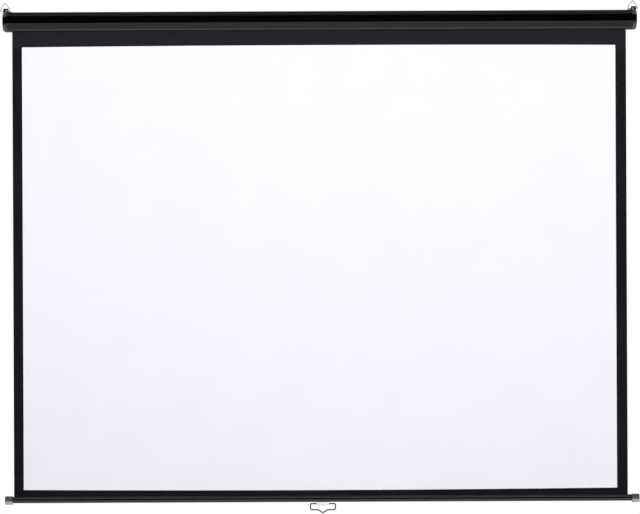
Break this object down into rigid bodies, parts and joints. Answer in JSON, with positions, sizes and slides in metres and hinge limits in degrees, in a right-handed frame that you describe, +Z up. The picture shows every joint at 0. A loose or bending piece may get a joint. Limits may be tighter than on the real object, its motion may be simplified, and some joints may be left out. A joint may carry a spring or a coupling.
{
  "type": "pull-down projection screen",
  "caption": "Wall or ceiling projection screen: white cloth with a black border hangs from a spring roller in a bevelled black case, with a weighted bar, wire pull handle and hanging rings",
  "frame": {"origin": "middle of the case's flat back, on the wall face", "axes": "+X along the case, -Y is the front that viewers see, +Y into the wall, +Z up"},
  "size_m": [2.186, 0.0659, 1.7513],
  "materials": {
    "case_paint": "gloss black powder coat on folded steel",
    "cap_plastic": "moulded black plastic, fine sheen",
    "black_screws": "black zinc plated steel",
    "zinc_steel": "zinc plated steel",
    "spring_steel": "oiled spring steel",
    "nylon": "natural nylon",
    "screen_fabric": "matt white coated cloth with a black border and a black back",
    "border_fabric": "matt black coated cloth",
    "bar_paint": "satin black paint on extruded aluminium",
    "bar_cap_plastic": "moulded grey plastic",
    "clip_plastic": "moulded light grey plastic",
    "handle_paint": "black coated steel wire",
    "ring_wire": "bright zinc plated wire"
  },
  "bodies": {
    "case": {"case_shell": "case_paint", "left_end_cap": "cap_plastic", "right_end_cap": "cap_plastic", "end_cap_screws": "black_screws", "bracket_screws": "black_screws", "left_roller_bracket": "zinc_steel", "right_roller_bracket": "zinc_steel", "spring_shaft": "zinc_steel", "ratchet_wheel": "zinc_steel", "torsion_spring": "spring_steel", "spring_anchor": "nylon", "idler_bush": "nylon", "screen_cloth": "screen_fabric"},
    "roller": {"roller_tube": "zinc_steel", "cloth_wraps": "border_fabric", "spring_end_plug": "nylon", "idler_end_plug": "nylon", "idler_pin": "zinc_steel", "pawl_pin": "zinc_steel"},
    "pawl": {"lock_pawl": "zinc_steel"},
    "bar": {"bottom_bar": "bar_paint", "left_bar_cap": "bar_cap_plastic", "right_bar_cap": "bar_cap_plastic", "hem_rod": "zinc_steel", "handle_clip": "clip_plastic", "clip_screws": "zinc_steel"},
    "handle": {"pull_handle": "handle_paint"},
    "left_ring": {"left_hang_ring": "ring_wire"},
    "right_ring": {"right_hang_ring": "ring_wire"}
  },
  "joints": [
    {"name": "screen_pull", "type": "slide", "parent": "case", "child": "bar", "axis": [0, 0, 1], "range_m": [0, 1.588], "deforming": ["screen_cloth"]},
    {"name": "roller_spin", "type": "hinge", "parent": "case", "child": "roller", "pos_m": [0, -0.023, 0.001], "axis": [1, 0, 0], "range_deg": [-5581, 0]},
    {"name": "pawl_swing", "type": "hinge", "parent": "roller", "child": "pawl", "pos_m": [1.071, -0.015, -0.0095], "axis": [1, 0, 0], "range_deg": [-32, 0]},
    {"name": "handle_swing", "type": "hinge", "parent": "bar", "child": "handle", "pos_m": [0.004, -0.03678, -1.6545], "axis": [1, 0, 0], "range_deg": [-115, 115]},
    {"name": "left_ring_swing", "type": "hinge", "parent": "case", "child": "left_ring", "pos_m": [-1.07725, -0.03678, 0.0368], "axis": [1, 0, 0], "range_deg": [-90, 90]},
    {"name": "right_ring_swing", "type": "hinge", "parent": "case", "child": "right_ring", "pos_m": [1.07205, -0.03678, 0.0368], "axis": [1, 0, 0], "range_deg": [-90, 90]}
  ],
  "couplings": [
    {"joint": "roller_spin", "follows": "screen_pull", "rad_per_m": -61.328}
  ]
}
